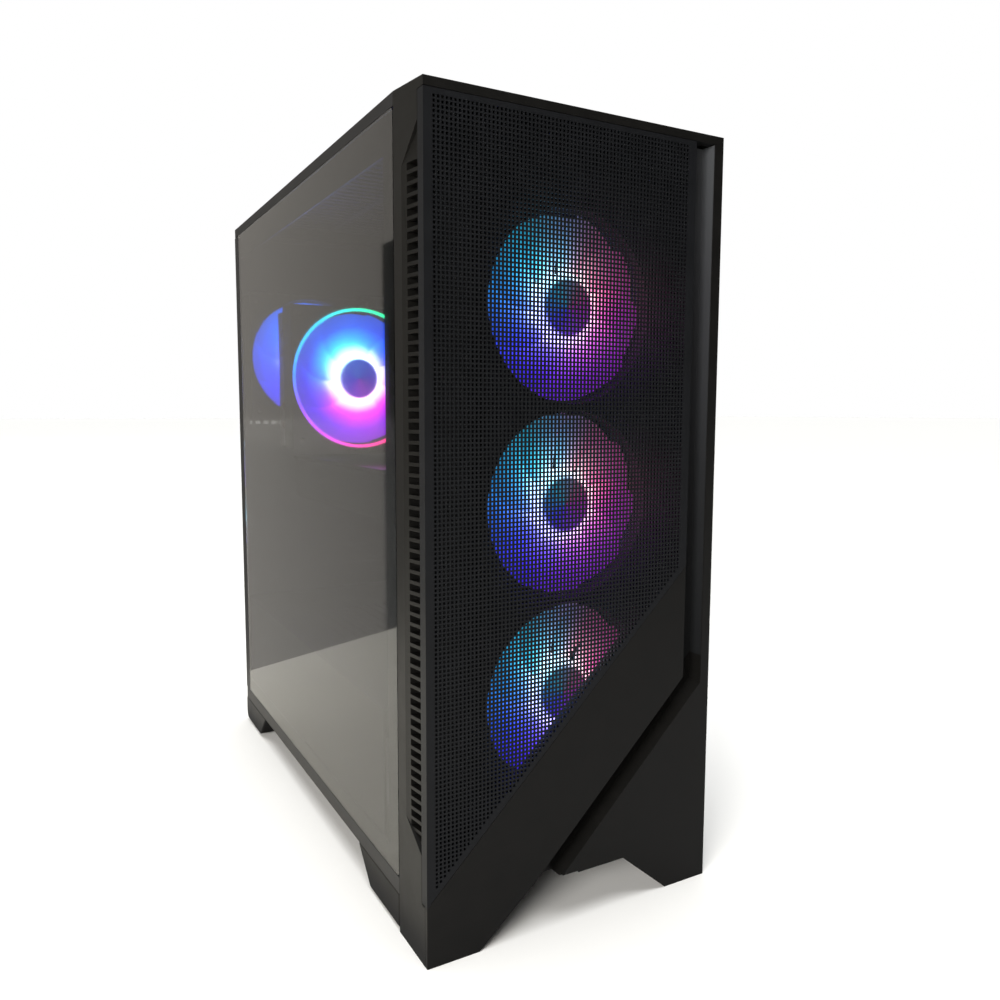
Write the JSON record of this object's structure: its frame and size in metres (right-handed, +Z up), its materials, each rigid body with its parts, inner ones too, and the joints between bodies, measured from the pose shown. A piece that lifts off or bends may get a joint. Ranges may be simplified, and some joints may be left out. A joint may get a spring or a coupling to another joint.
{
  "type": "desktop computer tower",
  "caption": "Mid-tower desktop computer with glass side, mesh front, lit fans, solid diagonal band, boards, cooler, drive and power supply inside.",
  "frame": {"origin": "centre of the footprint, on the surface it stands on", "axes": "-Y out of the front, +Y out of the rear, +X to the right of someone facing the front, +Z up"},
  "size_m": [0.21, 0.44, 0.495],
  "materials": {
    "black_steel": "satin black powder coat",
    "mesh_steel": "perforated, satin black",
    "black_mould": "fine moulded grain",
    "band_mould": "fine moulded grain",
    "tinted_glass": "polished, lightly tinted",
    "rubber_pad": "matt",
    "bare_steel": "zinc plated",
    "screw_black": "black plated, knurled",
    "board_black": "solder mask over glass laminate",
    "socket_plastic": "moulded",
    "fin_aluminium": "rolled sheet",
    "black_aluminium": "anodised",
    "copper": "nickel-free copper, polished",
    "fan_frame_black": "moulded",
    "fan_blade_front": "milky translucent, lit",
    "fan_blade_lit": "milky translucent, lit",
    "fan_blade_black": "moulded",
    "filter_mesh": "woven nylon in a magnetic rim",
    "button_black": "satin",
    "drive_metal": "cast"
  },
  "bodies": {
    "chassis": {"floor_pan": "black_steel", "front_wall": "black_steel", "rear_wall": "black_steel", "motherboard_tray": "black_steel", "top_plate": "black_steel", "psu_shroud": "black_steel", "left_frame": "black_steel", "right_frame": "black_steel", "chassis_feet": "black_mould", "foot_pads": "rubber_pad", "io_panel": "black_mould", "io_sockets": "bare_steel", "case_fasteners": "screw_black", "front_fan_frame_1": "fan_frame_black", "front_fan_frame_2": "fan_frame_black", "front_fan_frame_3": "fan_frame_black", "rear_fan_frame": "fan_frame_black", "cooler_fan_frame": "fan_frame_black", "slot_brackets": "black_steel", "io_shield": "bare_steel", "rear_ports": "bare_steel", "motherboard": "board_black", "board_sockets": "socket_plastic", "memory_sticks": "black_aluminium", "board_heatsinks": "black_aluminium", "m2_drive": "board_black", "cooler_base": "copper", "cooler_pipes": "copper", "cooler_fins": "fin_aluminium", "graphics_board": "board_black", "graphics_backplate": "black_aluminium", "graphics_shroud": "black_mould", "graphics_sink": "fin_aluminium", "psu_case": "black_steel", "psu_inlet": "socket_plastic", "psu_grille": "screw_black", "drive_cage": "black_steel", "hard_drive": "drive_metal", "drive_sled": "black_mould"},
    "glass_side": {"glass_panel": "tinted_glass", "glass_flange": "black_steel", "glass_thumbscrews": "screw_black"},
    "right_side": {"right_panel": "black_steel", "panel_thumbscrews": "screw_black"},
    "bezel": {"bezel_frame": "black_mould", "front_mesh": "mesh_steel", "diagonal_band": "band_mould"},
    "top_filter": {"top_filter": "filter_mesh"},
    "psu_filter": {"psu_filter": "filter_mesh"},
    "power_button": {"power_button": "button_black"},
    "reset_button": {"reset_button": "button_black"},
    "psu_switch": {"psu_switch": "button_black"},
    "front_rotor_1": {"front_rotor_1": "fan_blade_front"},
    "front_rotor_2": {"front_rotor_2": "fan_blade_front"},
    "front_rotor_3": {"front_rotor_3": "fan_blade_front"},
    "rear_rotor": {"rear_rotor": "fan_blade_lit"},
    "cooler_rotor": {"cooler_rotor": "fan_blade_lit"},
    "graphics_rotor_1": {"graphics_rotor_1": "fan_blade_black"},
    "graphics_rotor_2": {"graphics_rotor_2": "fan_blade_black"},
    "psu_rotor": {"psu_rotor": "fan_blade_black"}
  },
  "joints": [
    {"name": "glass_slide", "type": "slide", "parent": "chassis", "child": "glass_side", "axis": [0, 1, 0], "range_m": [0, 0.02]},
    {"name": "right_panel_slide", "type": "slide", "parent": "chassis", "child": "right_side", "axis": [0, 1, 0], "range_m": [0, 0.02]},
    {"name": "bezel_pull", "type": "slide", "parent": "chassis", "child": "bezel", "axis": [0, -1, 0], "range_m": [0, 0.04]},
    {"name": "top_filter_lift", "type": "slide", "parent": "chassis", "child": "top_filter", "axis": [0, 0, 1], "range_m": [0, 0.06]},
    {"name": "psu_filter_slide", "type": "slide", "parent": "chassis", "child": "psu_filter", "axis": [0, 1, 0], "range_m": [0, 0.15]},
    {"name": "power_press", "type": "slide", "parent": "chassis", "child": "power_button", "axis": [0, 0, -1], "range_m": [0, 0.0015], "stiffness_N_per_m": 300},
    {"name": "reset_press", "type": "slide", "parent": "chassis", "child": "reset_button", "axis": [0, 0, -1], "range_m": [0, 0.0012], "stiffness_N_per_m": 250},
    {"name": "psu_switch_rock", "type": "hinge", "parent": "chassis", "child": "psu_switch", "pos_m": [0.019, 0.2124, 0.0722], "axis": [-1, 0, 0], "range_deg": [0, 12]},
    {"name": "front_fan_spin_1", "type": "hinge", "parent": "chassis", "child": "front_rotor_1", "pos_m": [0, -0.195, 0.1407], "axis": [0, 1, 0], "continuous": true},
    {"name": "front_fan_spin_2", "type": "hinge", "parent": "chassis", "child": "front_rotor_2", "pos_m": [0, -0.195, 0.2607], "axis": [0, 1, 0], "continuous": true},
    {"name": "front_fan_spin_3", "type": "hinge", "parent": "chassis", "child": "front_rotor_3", "pos_m": [0, -0.195, 0.3807], "axis": [0, 1, 0], "continuous": true},
    {"name": "rear_fan_spin", "type": "hinge", "parent": "chassis", "child": "rear_rotor", "pos_m": [-0.036, 0.2, 0.371], "axis": [0, 1, 0], "continuous": true},
    {"name": "cooler_fan_spin", "type": "hinge", "parent": "chassis", "child": "cooler_rotor", "pos_m": [-0.034, 0.065, 0.3465], "axis": [0, 1, 0], "continuous": true},
    {"name": "graphics_fan_spin_1", "type": "hinge", "parent": "chassis", "child": "graphics_rotor_1", "pos_m": [0.0051, 0.0258, 0.236], "axis": [0, 0, 1], "continuous": true},
    {"name": "graphics_fan_spin_2", "type": "hinge", "parent": "chassis", "child": "graphics_rotor_2", "pos_m": [0.0051, 0.1438, 0.236], "axis": [0, 0, 1], "continuous": true},
    {"name": "psu_fan_spin", "type": "hinge", "parent": "chassis", "child": "psu_rotor", "pos_m": [0.001, 0.1404, 0.04], "axis": [0, 0, 1], "continuous": true}
  ]
}
